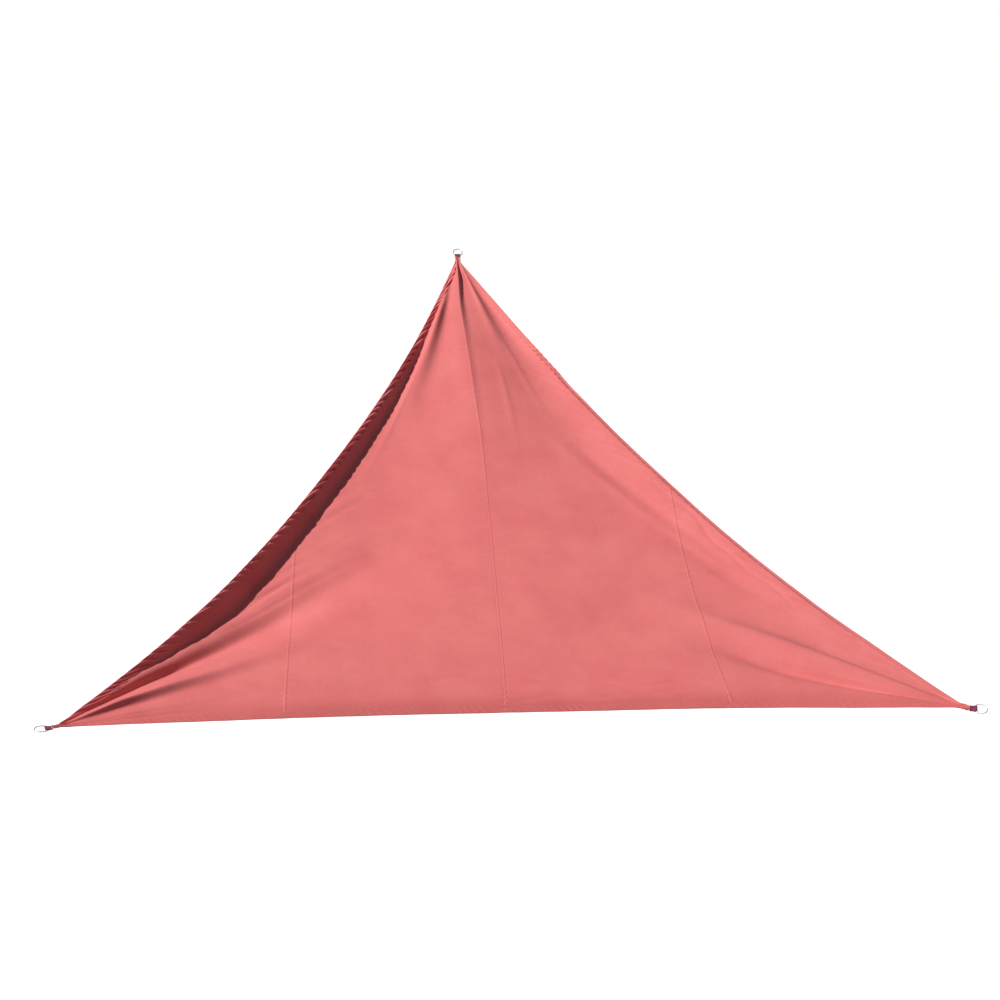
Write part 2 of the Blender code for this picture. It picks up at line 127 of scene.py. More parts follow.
# The folds that fan out from each corner: the crest's share of the way round the
# corner at 0.2 m and at 1 m out, the widths before and past it, and how far out
# the fold starts, is highest and ends. A trough has a negative height.
FOLDS = (
    # corner  share_in share_out near   far   height start  peak  end
    ("apex", 0.112, 0.118, 0.045, 0.056, 0.024, 0.14, 0.50, 1.30),
    ("apex", 0.385, 0.440, 0.260, 0.060, 0.018, 0.01, 0.18, 0.70),
    ("apex", 0.420, 0.460, 0.260, 0.200, 0.020, 0.20, 0.90, 2.30),
    ("apex", 0.870, 0.900, 0.130, 0.100, -0.022, 0.02, 0.60, 1.90),
    ("left", 0.184, 0.250, 0.056, 0.090, -0.037, -0.08, 0.60, 2.10),
    ("left", 0.508, 0.472, 0.080, 0.064, 0.032, 0.01, 0.30, 1.30),
    ("left", 0.700, 0.700, 0.100, 0.150, 0.004, 0.05, 0.40, 1.20),
    ("right", 0.336, 0.368, 0.060, 0.050, -0.029, 0.02, 0.60, 1.15),
    ("right", 0.550, 0.550, 0.110, 0.058, 0.031, 0.02, 0.65, 1.45),
    ("right", 0.790, 0.800, 0.070, 0.026, 0.003, 0.60, 1.15, 1.80),
)
# The finer creases between those folds, in the same way.
CREASES = (
    # corner  share_in share_out near   far   height  start  peak  end
    ("left", 0.020, 0.111, 0.014, 0.012, -0.0030, 0.55, 1.00, 1.60),
    ("left", 0.060, 0.170, 0.014, 0.012, -0.0025, 0.75, 1.15, 1.80),
    ("left", 0.760, 0.770, 0.030, 0.030, 0.0020, 0.05, 0.35, 1.10),
    ("left", 0.880, 0.890, 0.025, 0.025, -0.0020, 0.04, 0.30, 0.90),
    ("right", 0.230, 0.400, 0.030, 0.080, -0.0070, 0.50, 0.78, 1.05),
    ("right", 0.120, 0.140, 0.025, 0.025, 0.0015, 0.05, 0.40, 1.20),
    ("right", 0.170, 0.185, 0.016, 0.016, -0.0020, 0.60, 1.20, 1.90),
    ("right", 0.865, 0.870, 0.014, 0.014, 0.0030, 1.00, 1.80, 2.50),
    ("right", 0.905, 0.905, 0.013, 0.013, -0.0025, 1.00, 1.80, 2.60),
    ("apex", 0.115, -0.650, 0.050, 0.040, 0.0040, 0.00, 0.10, 0.27),
    ("apex", 0.750, 0.745, 0.060, 0.060, 0.0075, 0.02, 0.32, 0.90),
    ("apex", 0.700, 0.640, 0.022, 0.018, 0.0022, 0.70, 0.95, 1.50),
    ("apex", 0.790, 0.790, 0.026, 0.018, 0.0020, 0.50, 0.80, 1.30),
    ("apex", 0.098, 0.098, 0.012, 0.012, 0.0020, 0.60, 1.10, 1.80),
)
GATHERS = 2.5  # soft gathers across a neck
GATHER_DEPTH = 0.002
GATHER_REACH = 0.16  # how far they run out into the cloth
TWIST_REACH = 0.15  # how far the roll of a corner's webbing runs out into the cloth
PLEATS = 6.5  # small pleats across a neck, between the two rolled hems
PLEAT_DEPTH = 0.0016
PLEAT_REACH = 0.20

# Slack wrinkles that lean away from a hem: where they run along the edge,
# their pitch and lean, where they start inside the rim, their reach and height.
HEM_WRINKLES = (
    # edge    from   to     pitch  lean   start  reach  height
    ("left", 0.22, 0.56, 0.200, -2.40, 0.060, 0.260, 0.0016),
    ("right", 0.40, 0.80, 0.120, -2.40, 0.024, 0.150, 0.0008),
    ("right", 0.05, 0.45, 0.160, -2.40, 0.024, 0.160, 0.0008),
)
# How far the right-hand hem is turned down, by share along the edge, and how far
# inside its rim the turn is and how wide.
TURNED_DOWN = (
    (0.0, 0.0), (0.14, 0.002), (0.22, 0.009), (0.45, 0.013),
    (0.71, 0.014), (0.75, 0.004), (0.80, 0.001), (1.0, 0.0),
)
TURN_AT, TURN_WIDE = 0.011, 0.018
# Long soft creases beside the base and right-hand hems.
LONG_CREASES = (
    # edge    inside  width  height  from  to
    ("base", 0.060, 0.008, -0.0030, 0.46, 0.72),
    ("base", 0.128, 0.009, -0.0036, 0.52, 0.76),
    ("base", 0.165, 0.014, -0.0028, 0.34, 0.60),
    ("right", 0.070, 0.012, -0.0016, 0.20, 0.55),
)
# Slow waves over the whole cloth: height, and for two crossed waves how fast they
# run along s and t, and their phase.
CLOTH_WAVES = (
    (0.0011, (9.1, 3.7, 1.0), (-4.1, 6.3, 0.4)),
    (0.0005, (27.0, -11.0, 0.0), (13.0, 19.0, 2.0)),
)
# The puckers beside a felled seam.
PUCKER_HEIGHT = 0.0007
PUCKER_PITCH = 0.034
PUCKER_REACH = 0.028
PUCKER_SLANT = 0.25


def smooth(x):
    """0 below 0, 1 above 1, and an S-curve between."""
    x = np.clip(x, 0.0, 1.0)
    return x * x * (3 - 2 * x)


def turn(length, degrees):
    """A step of this length in the sail's plane, its way given from the base."""
    a = math.radians(degrees)
    return np.array([length * math.cos(a), length * math.sin(a)])


def table(rows, x):
    """Reads a table of (place, value) rows, rounded off between its rows."""
    places, values = np.array(rows).T
    i = np.clip(np.searchsorted(places, x, side="right") - 1, 0, len(places) - 2)
    straight = np.clip((x - places[i]) / (places[i + 1] - places[i]), 0.0, 1.0)
    return values[i] + (values[i + 1] - values[i]) * (smooth(straight) + straight) / 2


def neck_side(corner, left_hand, along):
    """A side of the neck, from the webbing (along 0) to where it opens out (along 1)."""
    s, t, pull, neck, reach, length, _ = CORNERS[corner]
    middle = np.array([s, t]) + turn(reach, pull) + turn(along * length, neck)
    facing = pull + (neck - pull) * along
    return middle + turn(NECK / 2, facing + (90 if left_hand else -90))


# Which side of each neck an edge runs to: True on the left looking in.
NECK_SIDE = {
    ("left", "left"): True,
    ("left", "apex"): False,
    ("right", "right"): False,
    ("right", "apex"): True,
    ("base", "left"): False,
    ("base", "right"): True,
}


class Edge:
    """One hemmed edge: its outline from webbing to webbing, and places beside it."""

    def __init__(self, name):
        first, last, inward, bow, lean, fill = EDGES[name]
        self.start = neck_side(first, NECK_SIDE[name, first], 1)
        end = neck_side(last, NECK_SIDE[name, last], 1)
        self.length = math.dist(self.start, end)
        self.chord = (end - self.start) / self.length
        self.inward = np.array([-self.chord[1], self.chord[0]]) * inward
        self.along = np.linspace(0, 1, 401)
        pi = math.pi * self.along
        self.drawn_in = bow * np.sin(pi) + lean * np.sin(2 * pi) + fill * np.sin(3 * pi)
        bowed = self.start + np.outer(self.along * self.length, self.chord)
        bowed = bowed + np.outer(self.drawn_in, self.inward)
        ends = [neck_side(corner, NECK_SIDE[name, corner], 0) for corner in (first, last)]
        self.points = np.vstack([ends[0], bowed, ends[1]])

    def beside(self, s, t):
        """How far along the edge (0 to 1) and how far inside it a place lies."""
        x, y = s - self.start[0], t - self.start[1]
        along = (x * self.chord[0] + y * self.chord[1]) / self.length
        inside = x * self.inward[0] + y * self.inward[1]
        return along, inside - np.interp(along, self.along, self.drawn_in)


EDGE = {name: Edge(name) for name in EDGES}
CORNER_EDGES = {"apex": ("left", "right"), "left": ("left", "base"), "right": ("base", "right")}


def fan_sides(corner):
    """For both edges of a corner: distance from the webbing, and the angle there."""
    s, t, pull, _, reach, _, _ = CORNERS[corner]
    centre = np.array([s, t]) + turn(reach, pull)
    sides = []
    for name in CORNER_EDGES[corner]:
        points = EDGE[name].points
        if EDGES[name][1] == corner:
            points = points[::-1]
        d = points - centre
        sides.append((np.hypot(d[:, 0], d[:, 1]), np.unwrap(np.arctan2(d[:, 1], d[:, 0]))))
    return centre, sides


FAN = {corner: fan_sides(corner) for corner in CORNERS}


def fan(corner, s, t):
    """How far out from a corner a place lies, and its share of the way round."""
    centre, ((r_a, angle_a), (r_b, angle_b)) = FAN[corner]
    x, y = s - centre[0], t - centre[1]
    out = np.hypot(x, y)
    first = np.interp(out, r_a, angle_a)
    second = np.interp(out, r_b, angle_b)
    opening = (second - first + math.pi) % (2 * math.pi) - math.pi
    offset = (np.arctan2(y, x) - first + math.pi) % (2 * math.pi) - math.pi
    return out, offset / opening


def margins(s, t):
    """Fall of the cloth from its taut hems, each edge's own blended by nearness."""
    total, weights = 0.0, 0.0
    for name in EDGES:
        along, inside = EDGE[name].beside(s, t)
        width, growth = MARGIN_WIDTH[name]
        fall = table(MARGIN_FALL[name], along)
        start = table(MARGIN_START[name], along)
        width = width + growth * np.abs(fall)
        weight = (np.maximum(inside, 0.0) + MARGIN_BLEND) ** -2.0
        total = total + weight * fall * smooth((inside - start) / width)
        weights = weights + weight
    return total / weights


def fold(row, out, share):
    """Height of one fold of FOLDS or CREASES."""
    _, share_in, share_out, near, far, height, start, peak, end = row
    crest = share_in + (share_out - share_in) * (out - 0.2) / 0.8
    width = np.where(share < crest, near, far)
    grown = smooth((out - start) / (peak - start)) * (1 - smooth((out - peak) / (end - peak)))
    return height * grown * np.exp(-(((share - crest) / width) ** 2))


def twist(corner, s, t):
    """Height that rolls the cloth at a corner about its pull, as its webbing is rolled."""
    pull, roll = CORNERS[corner][2], CORNERS[corner][6]
    left_hand = turn(1.0, pull + 90)
    centre = FAN[corner][0]
    beside = (s - centre[0]) * left_hand[0] + (t - centre[1]) * left_hand[1]
    return math.tan(math.radians(roll)) * beside


def hung_height(s, t):
    """Height n of the cloth's middle over the ring ends' plane, with its main folds."""
    to_apex = t / HEIGHT
    to_right = (s - SIDE / 2 * to_apex) / SIDE
    to_left = 1 - to_apex - to_right
    n = -4 * SAG * (to_apex * to_right + to_right * to_left + to_left * to_apex)
    n = n - margins(s, t)
    for corner in CORNERS:
        out, share = fan(corner, s, t)
        for row in FOLDS:
            if row[0] == corner:
                n = n + fold(row, out, share)
        gathered = 1 - smooth(out / GATHER_REACH)
        n = n + GATHER_DEPTH * gathered * np.cos(2 * math.pi * GATHERS * share)
        n = n + twist(corner, s, t) * (1 - smooth(out / TWIST_REACH))
    return n


def wander(x, seed):
    """A slow uneven drift, for wrinkles that are never quite alike."""
    return (
        np.sin(5.3 * x + seed)
        + 0.7 * np.sin(11.9 * x + 2.1 * seed)
        + 0.5 * np.sin(23.7 * x + 0.7 * seed)
    )


def between(along, first, last, fade):
    """1 from first to last, fading to 0 at both."""
    return smooth((along - first) / fade) * (1 - smooth((along - last + fade) / fade))


def wrinkles(s, t):
    """The finer creases, which the solid leaves out."""
    n = 0.0
    for height, *crossed in CLOTH_WAVES:
        one, two = (np.sin(a * s + b * t + phase) for a, b, phase in crossed)
        n = n + height * one * two
    for corner in CORNERS:
        out, share = fan(corner, s, t)
        for row in CREASES:
            if row[0] == corner:
                n = n + fold(row, out, share)
        pleated = 1 - smooth((out - 0.01) / PLEAT_REACH)
        n = n + PLEAT_DEPTH * pleated**1.5 * np.sin(2 * math.pi * PLEATS * share + 1.0)
    for k, (name, first, last, pitch, lean, start, reach, height) in enumerate(HEM_WRINKLES):
        along, inside = EDGE[name].beside(s, t)
        run = along * EDGE[name].length + lean * inside
        wave = np.sin(2 * math.pi * run / pitch + 1.3 * wander(run, k + 1.0))
        uneven = 0.65 + 0.35 * np.sin(9.7 * run + 3.0 * k)
        grown = smooth((inside - start) / 0.03) * (1 - smooth((inside - start) / reach))
        within = between(along, first, last, 0.06)
        n = n + height * uneven * wave * grown * within
    along, inside = EDGE["right"].beside(s, t)
    n = n - table(TURNED_DOWN, along) * (1 - smooth((inside - TURN_AT) / TURN_WIDE))
    for name, at, width, height, first, last in LONG_CREASES:
        along, inside = EDGE[name].beside(s, t)
        run = along * EDGE[name].length
        line = at + 0.012 * wander(run, at * 40)
        within = between(along, first, last, 0.08)
        n = n + height * within * np.exp(-(((inside - line) / width) ** 2))
    return n


# The plane of the ring ends in the sail's frame.
ACROSS = np.array([1.0, 0.0, 0.0])
UP_SLOPE = np.array([0.0, math.cos(SLOPE), math.sin(SLOPE)])
SQUARE = np.array([0.0, -math.sin(SLOPE), math.cos(SLOPE)])


def place(s, t, n):
    """Points of the sail's frame from s, t and n."""
    return (
        np.multiply.outer(s - SIDE / 2, ACROSS)
        + np.multiply.outer(t - HEIGHT, UP_SLOPE)
        + np.multiply.outer(n, SQUARE)
    )


def edge_height(name, s):
    """t of an edge at a given s."""
    points = EDGE[name].points
    order = np.argsort(points[:, 0])
    return np.interp(s, points[order, 0], points[order, 1])


def seam_ends(name):
    """s and t of a seam's foot on the base and of its top."""
    foot, top, _, _ = SEAMS[name]
    lower = (foot, float(edge_height("base", foot)))
    if name == "centre":
        return lower, tuple((neck_side("apex", True, 0) + neck_side("apex", False, 0)) / 2)
    return lower, (top, float(edge_height(name, top)))


SEAM_ENDS = {name: seam_ends(name) for name in SEAMS}


def seam_point(name, share):
    """s and t on a seam, share of the way up from its foot."""
    (s0, t0), (s1, t1) = SEAM_ENDS[name]
    _, _, curl, bow = SEAMS[name]
    s = s1 + (s0 - s1) * (1 - share) ** curl + bow * np.sin(math.pi * share)
    if name == "centre":
        s = s + table(SEAM_DRIFT, (1 - share) * (t1 - t0))
    return np.stack([s, t0 + (t1 - t0) * share], axis=-1)


def seam_puckers(s, t):
    """Small puckers that the stitching draws into the cloth beside a felled seam."""
    n = 0.0
    for k, name in enumerate(SEAMS):
        (_, t0), (_, t1) = SEAM_ENDS[name]
        share = np.clip((t - t0) / (t1 - t0), 0.0, 1.0)
        d = s - seam_point(name, share)[..., 0]
        turns = (t + PUCKER_SLANT * np.abs(d)) / PUCKER_PITCH
        wave = np.sin(2 * math.pi * turns + 1.1 * wander(t, k + 4.0))
        uneven = 0.6 + 0.4 * np.sin(6.1 * t + k)
        n = n + PUCKER_HEIGHT * uneven * wave * np.exp(-((d / PUCKER_REACH) ** 2))
        if name == "centre":
            width = np.where(d < 0, *STEP_WIDE)
            n = n + table(SEAM_STEP, (1 - share) * (t1 - t0)) * np.exp(-((d / width) ** 2))
    return n


def cloth_height(s, t):
    """Height n of the cloth's middle with everything that shows."""
    return hung_height(s, t) + wrinkles(s, t) + seam_puckers(s, t)


def measured(points):
    """The length of a line up to each of its points, and a function from length to place."""
    length = np.concatenate([[0], np.cumsum(np.hypot(*np.diff(points, axis=0).T))])

    def at(x):
        return np.stack([np.interp(x, length, points[:, k]) for k in (0, 1)], axis=-1)

    return length, at


def path_to(points, s_end):
    """An edge's outline from a corner to where it meets a seam, by share of its length."""
    length, at = measured(points)
    order = np.argsort(points[:, 0])
    total = np.interp(s_end, points[order, 0], length[order])
    return lambda share: at(share * total)


def corner_cut(corner, rows, columns):
    """Grid of (s, t) over a corner panel, its hemmed sides ending inside the hems."""
    base = EDGE["base"].points if corner == "left" else EDGE["base"].points[::-1]
    (foot, foot_t), (top, top_t) = SEAM_ENDS[corner]
    lower = path_to(base, foot)
    upper = path_to(EDGE[corner].points, top)
    along = np.linspace(0, 1, rows) ** 1.2  # closer rows in the gathered corner
    tuck = TUCK / (top_t - foot_t)
    across = np.linspace(tuck, 1 - tuck, columns)
    low, high = lower(along), upper(along)
    grid = low[:, None] + (high - low)[:, None] * across[None, :, None]
    curve = seam_point(corner, across) - grid[-1]  # the last rows bend to the seam
    return grid + curve[None] * (along**6)[:, None, None]


def centre_cut(hand, rows, columns):
    """Grid of (s, t) over a centre panel, from the apex to the base."""
    (_, t_foot), (_, t_top) = SEAM_ENDS[hand]
    apex = EDGE[hand].points[::-1]
    t_neck = apex[0, 1]
    hem_part = (t_neck - t_top) / (t_neck - t_foot)
    upper_rows = int(rows * 0.62)  # the rest lie between the seam's top and the base
    down_hem = np.linspace(0, 1, upper_rows, endpoint=False) ** 1.15 * hem_part
    down_seam = np.linspace(hem_part, 1 - TUCK / (t_neck - t_foot), rows - upper_rows)
    down = np.concatenate([down_hem, down_seam])
    t_outer = t_neck + (t_foot - t_neck) * down
    hem_line = np.stack([np.interp(-t_outer, -apex[:, 1], apex[:, 0]), t_outer], axis=-1)
    share = np.clip((t_outer - t_foot) / (t_top - t_foot), 0, 1)
    hemmed = down < hem_part - 1e-9
    outer = np.where(hemmed[:, None], hem_line, seam_point(hand, share))
    inner = seam_point("centre", 1 - down)
    width = np.hypot(*(inner - outer).T)
    tuck = np.where(hemmed, np.minimum(TUCK, 0.2 * width), SEAM_GAP) / width
    across = tuck[:, None] + (1 - tuck[:, None]) * np.linspace(0, 1, columns)[None] ** 1.05
    grid = outer[:, None] + (inner - outer)[:, None] * across[..., None]
    bow = edge_height("base", grid[-1, :, 0]) + TUCK - grid[-1, :, 1]
    grid[..., 1] += bow[None] * ((down / down[-1]) ** 8)[:, None]
    return grid


def as_mesh(name, bm):
    """Turns a finished bmesh into a mesh."""
    mesh = bpy.data.meshes.new(name)
    bm.to_mesh(mesh)
    bm.free()
    return mesh


def in_scene(name, data):
    """Puts an object with this data into the scene."""
    obj = bpy.data.objects.new(name, data)
    bpy.context.scene.collection.objects.link(obj)
    return obj


def lay_out(name, top, underside, flat, painted_base_shade):
    """A closed sheet from two grids of points, with its lie on the flat cut as UV and a weight
    per point for the painted shade beside the base.
    """
    rows, columns = top.shape[:2]
    bm = bmesh.new()
    bmesh.ops.create_grid(bm, x_segments=rows - 1, y_segments=columns - 1, size=0.5)
    raised = bmesh.ops.extrude_face_region(bm, geom=bm.faces[:])
    lifted = [v for v in raised["geom"] if isinstance(v, bmesh.types.BMVert)]
    bmesh.ops.translate(bm, verts=lifted, vec=(0, 0, 1))
    bmesh.ops.recalc_face_normals(bm, faces=bm.faces[:])
    mesh = as_mesh(name, bm)
    co = np.empty(len(mesh.vertices) * 3)
    mesh.vertices.foreach_get("co", co)
    co = co.reshape(-1, 3)
    i = np.rint((co[:, 0] + 0.5) * (rows - 1)).astype(int)
    j = np.rint((co[:, 1] + 0.5) * (columns - 1)).astype(int)
    upper = co[:, 2] > 0.5
    laid = np.where(upper[:, None], top[i, j], underside[i, j])
    # the grid's own hand: a sheet whose rows run the other way is turned over
    across = np.cross(top[-1, 0] - top[0, 0], top[0, -1] - top[0, 0])
    if np.dot(across, (top - underside)[rows // 2, columns // 2]) < 0:
        mesh.flip_normals()
    mesh.vertices.foreach_set("co", laid.ravel())
    corner_vertex = np.empty(len(mesh.loops), dtype=int)
    mesh.loops.foreach_get("vertex_index", corner_vertex)
    weave = mesh.uv_layers.new(name="weave")
    weave.data.foreach_set("uv", flat[i, j][corner_vertex].ravel())
    # weight of the painted shade beside the base, which the cloth's material reads
    depth = mesh.attributes.new(name="painted_base_shade", type="FLOAT", domain="POINT")
    depth.data.foreach_set("value", painted_base_shade[i, j])
    mesh.shade_smooth()
    mesh.update()
    return in_scene(name, mesh)


def panel_sheet(name, grid):
    """A panel's sheet, equally thick on flat and steep cloth."""
    s, t = grid[..., 0], grid[..., 1]
    n = cloth_height(s, t)
    step = 0.002  # the slope is taken over this much to each side
    steep = np.hypot(
        (cloth_height(s + step, t) - cloth_height(s - step, t)) / (2 * step),
        (cloth_height(s, t + step) - cloth_height(s, t - step)) / (2 * step),
    )
    half = CLOTH_THIN / 2 * np.minimum(np.sqrt(1 + steep**2), MOST_UPRIGHT)
    # painted shade: weight 1 at the base's rim, fading to 0 further in
    painted_base_shade = 1 - smooth((EDGE["base"].beside(s, t)[1] - BASE_SHADE_FULL) / BASE_SHADE_FADE)
    return lay_out(name, place(s, t, n + half), place(s, t, n - half), grid, painted_base_shade)


# The cloth's finish: a plain weave of polyester yarn, with a soft sheen, uneven yarns along and
# across, faint mottling, a light crumple, and shade painted darker beside the base.
CORAL = (0.625, 0.1445, 0.141)
YARN = 0.0009  # pitch of the yarns
STITCH = 0.0036  # pitch of the stitches
STITCH_GAP = 0.14  # share of the pitch at each end of a stitch with no thread showing
THREAD_WIDE = 0.0011


class Finish:
    """A material of one Principled shader, with short ways to add its nodes."""

    def __init__(self, name, uv=None):
        self.material = bpy.data.materials.new(name)
        self.material.use_nodes = True
        self.nodes = self.material.node_tree.nodes
        self.links = self.material.node_tree.links
        self.shader = self.nodes["Principled BSDF"]
        if uv:
            lie = self.add("UVMap")
            lie.uv_map = uv
            self.lie = lie.outputs["UV"]
        self.where = self.add("TexCoord").outputs["Object"]

    def feed(self, socket, value):
        """Sets a socket to a number or colour, or links it to another node's output."""
        if isinstance(value, bpy.types.NodeSocket):
            self.links.new(value, socket)
        else:
            socket.default_value = value

    def add(self, kind, **values):
        node = self.nodes.new(f"ShaderNode{kind}")
        for name, value in values.items():
            self.feed(node.inputs[name.replace("_", " ")], value)
        return node

    def set(self, **values):
        for name, value in values.items():
            self.feed(self.shader.inputs[name.replace("_", " ")], value)

    def math(self, kind, *values):
        node = self.add("Math")
        node.operation = kind
        for socket, value in zip(node.inputs, values):
            self.feed(socket, value)
        return node.outputs[0]

    def parts(self, vector):
        return self.add("SeparateXYZ", Vector=vector).outputs

    def noise(self, vector, scale, stretch=(1, 1, 1), detail=2.0, rough=0.5):
        lie = self.add("Mapping", Vector=vector, Scale=stretch).outputs["Vector"]
        node = self.add("TexNoise", Vector=lie, Scale=scale, Detail=detail, Roughness=rough)
        return node.outputs["Fac"]

    def ramp(self, value, low, high, stops=(0.3, 0.7)):
        node = self.add("ValToRGB", Fac=value)
        for element, stop, colour in zip(node.color_ramp.elements, stops, (low, high)):
            element.position = stop
            element.color = (*colour, 1)
        return node.outputs["Color"]

    def between(self, value, least, most):
        return self.add("MapRange", Value=value, To_Min=least, To_Max=most).outputs["Result"]

    def mix(self, factor, a, b):
        node = self.add("Mix")
        node.data_type = "RGBA"
        for k, value in ((0, factor), (6, a), (7, b)):
            self.feed(node.inputs[k], (*value, 1) if isinstance(value, tuple) else value)
        return node.outputs[2]

    def bump(self, heights):
        """Stacks bumps: (height, distance in metres, strength) from the largest down."""
        last = {}
        for height, distance, strength in heights:
            node = self.add("Bump", Height=height, Distance=distance, Strength=strength, **last)
            last = {"Normal": node.outputs["Normal"]}
        self.set(**last)


def woven_coral(name, stitch_rows=()):
    """The coral cloth; stitch_rows are the places across a strip where it is sewn."""
    cloth = Finish(name, "weave")
    u, v, _ = cloth.parts(cloth.lie)
    warp = cloth.math("SINE", cloth.math("MULTIPLY", u, math.pi / YARN))
    weft = cloth.math("SINE", cloth.math("MULTIPLY", v, math.pi / YARN))
    weave = cloth.math("MULTIPLY", warp, weft)
    yarns_up = cloth.noise(cloth.lie, 1.0, (900.0, 14.0, 1.0), 1.0)
    yarns_across = cloth.noise(cloth.lie, 1.0, (14.0, 900.0, 1.0), 1.0)
    yarns = cloth.math("ADD", yarns_up, yarns_across)
    mottle = cloth.noise(cloth.where, 5.0, detail=4.0, rough=0.6)
    crumple = cloth.noise(cloth.where, 26.0, detail=3.0, rough=0.55)
    # pale and deep are random tones for the mottling and yarns; the darkest is the colour of the
    # painted shade beside the base
    pale, deep, painted_shade_colour = (
        tuple(c * k for c, k in zip(CORAL, tint))
        for tint in ((1.06, 1.22, 1.18), (0.93, 0.84, 0.86), (0.80, 0.66, 0.66))
    )
    mottled = cloth.ramp(mottle, deep, pale, (0.30, 0.72))
    yarned = cloth.ramp(yarns, deep, pale, (0.75, 1.25))
    colour = cloth.mix(0.45, mottled, yarned)
    # painted shade: the colour is painted darker where the weight for the shade beside the base
    # is high
    layers = cloth.add("Attribute")
    layers.attribute_name = "painted_base_shade"
    colour = cloth.mix(cloth.math("MULTIPLY", layers.outputs["Fac"], 0.45), colour, painted_shade_colour)
    heights = [(crumple, 0.0011, 0.55), (yarns, 0.00012, 0.5), (weave, 0.00012, 0.4)]
    if stitch_rows:
        run = cloth.math("FRACT", cloth.math("DIVIDE", u, STITCH))
        begun = cloth.math("GREATER_THAN", run, STITCH_GAP)
        dash = cloth.math("MULTIPLY", begun, cloth.math("LESS_THAN", run, 1 - STITCH_GAP))
        thread = None
        for row in stitch_rows:
            off = cloth.math("ABSOLUTE", cloth.math("SUBTRACT", v, row))
            line = cloth.math("MULTIPLY", dash, cloth.math("LESS_THAN", off, THREAD_WIDE / 2))
            thread = line if thread is None else cloth.math("MAXIMUM", thread, line)
        colour = cloth.mix(thread, colour, tuple(c * 1.12 for c in CORAL))
        heights.append((thread, 0.0005, 0.8))
    cloth.set(Base_Color=colour, Roughness=cloth.between(mottle, 0.58, 0.74))
    cloth.set(Sheen_Weight=0.08, Sheen_Roughness=0.45, Sheen_Tint=(1.0, 0.7, 0.68, 1.0))
    cloth.set(Specular_IOR_Level=0.22)
    cloth.bump(heights)
    return cloth.material


def coral(piece, material):
    """Gives a piece of the cloth its finish, and rides it on the root."""
    piece.data.materials.append(material)
    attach(piece, "root")
    return piece


panel_cloth = woven_coral("coral_polyester")
QUICK = 1.0
panels = {}
for corner in ("left", "right"):
    panels[f"panel_{corner}"] = corner_cut(corner, int(240 * QUICK), int(156 * QUICK))
    panels[f"panel_centre_{corner}"] = centre_cut(corner, int(440 * QUICK), int(92 * QUICK))
for name, cut in panels.items():
    panels[name] = coral(panel_sheet(f"cloth_{name}", cut), panel_cloth)
    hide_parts(name)

# ------------------------ the hems
# The edge of the cloth, folded under twice and sewn down in one row. The hem
# is a little shorter than the cloth beside it, so it puckers into small
# slanting ruffles, like a loose rope, most of all along the left edge.
HEM_ROW = 0.0028  # length of hem from one row of points to the next
HEM_SEWN = 0.87 * HEM  # where its row of stitches is, in from the rim
# In a neck the hem is narrow and bunched up: its width and height there, how far
# from its end that lasts, and over what length it opens out.
HEM_AT_NECK, BUNCH_HIGH, BUNCH_LONG, OPENS_OVER = 0.0105, 0.0022, 0.022, 0.075
# Round the hem's section: share of the width from the rim, and height.
HEM_TOP = np.concatenate([[0, 0.015, 0.06], np.linspace(0.12, 0.88, 13), [0.94, 0.985, 1.0]])
HEM_ACROSS = np.concatenate([HEM_TOP, np.linspace(1, 0, 8)[1:-1]])
HEM_RISE = np.concatenate([np.full(len(HEM_TOP), 0.0016), np.full(6, -0.0015)])
HEM_ROUND = (1 - np.abs(2 * HEM_ACROSS - 1) ** 12) ** 0.5
# The stitching draws the hem down along its row.
HEM_DENT = 0.0006 * np.exp(-(((HEM_ACROSS - 0.86) / 0.04) ** 2))
HEM_SECTION = np.stack([HEM_ACROSS, HEM_RISE * HEM_ROUND - HEM_DENT], axis=-1)
# The ruffles: pitch, and by share along the edge their slant across the hem,
# their depth, and how sharp their crests are (0 even, towards 1 thin and sharp).
RUFFLES = {
    "left": (
        0.060,
        ((0.0, -6.0), (0.10, -5.5), (0.20, -4.0), (0.40, -3.6), (1.0, -3.4)),
        (
            (0.0, 0.0004), (0.04, 0.0036), (0.20, 0.0064), (0.40, 0.0076),
            (0.60, 0.0076), (0.93, 0.0062), (0.98, 0.0016), (1.0, 0.0004),
        ),
        ((0.0, 0.10), (1.0, 0.05)),
    ),
    "right": (
        0.037,
        ((0.0, -1.15), (1.0, -1.15)),
        (
            (0.0, 0.0003), (0.10, 0.0006), (0.72, 0.0010), (0.74, 0.0080),
            (0.78, 0.0080), (0.81, 0.0030), (0.90, 0.0014), (1.0, 0.0004),
        ),
        ((0.0, 0.30), (1.0, 0.30)),
    ),
    "base": (
        0.034,
        ((0.0, 1.2), (1.0, 1.2)),
        ((0.0, 0.0003), (0.06, 0.0005), (0.50, 0.0006), (0.94, 0.0005), (1.0, 0.0003)),
        ((0.0, 0.30), (1.0, 0.30)),
    ),
}
# How far the rim of the left hem stands up over the rest of it, by the same share.
RIM_UP = ((0.0, 0.001), (0.08, 0.002), (0.30, 0.002), (0.45, 0.001), (0.93, 0.001), (1.0, 0.0))
# Across the hem, as shares of its width: the ruffles rise over the first share,
# lie down over the last one before the stitching, and the rim's lift levels out.
RUFFLE_RISES, RUFFLE_ENDS, RUFFLE_FADES, LIFT_LEVELS = 0.22, 0.84, 0.14, 0.42
RUFFLE_AT_RIM = 0.15  # share of a ruffle's height that is left at the rim
RIM_DRAWN = 0.08  # share of a ruffle's depth that its rim is drawn in
RIM_BULGE = 0.0015  # how far the rim stands out at a neck


def even_line(points, step):
    """The length so far, points spaced evenly along a line, and the way it runs."""
    length, at = measured(points)
    run = np.linspace(0, length[-1], int(length[-1] / step) + 1)
    way = at(np.minimum(run + 0.012, length[-1])) - at(np.maximum(run - 0.012, 0))
    return run, at(run), way / np.hypot(*way.T)[:, None]


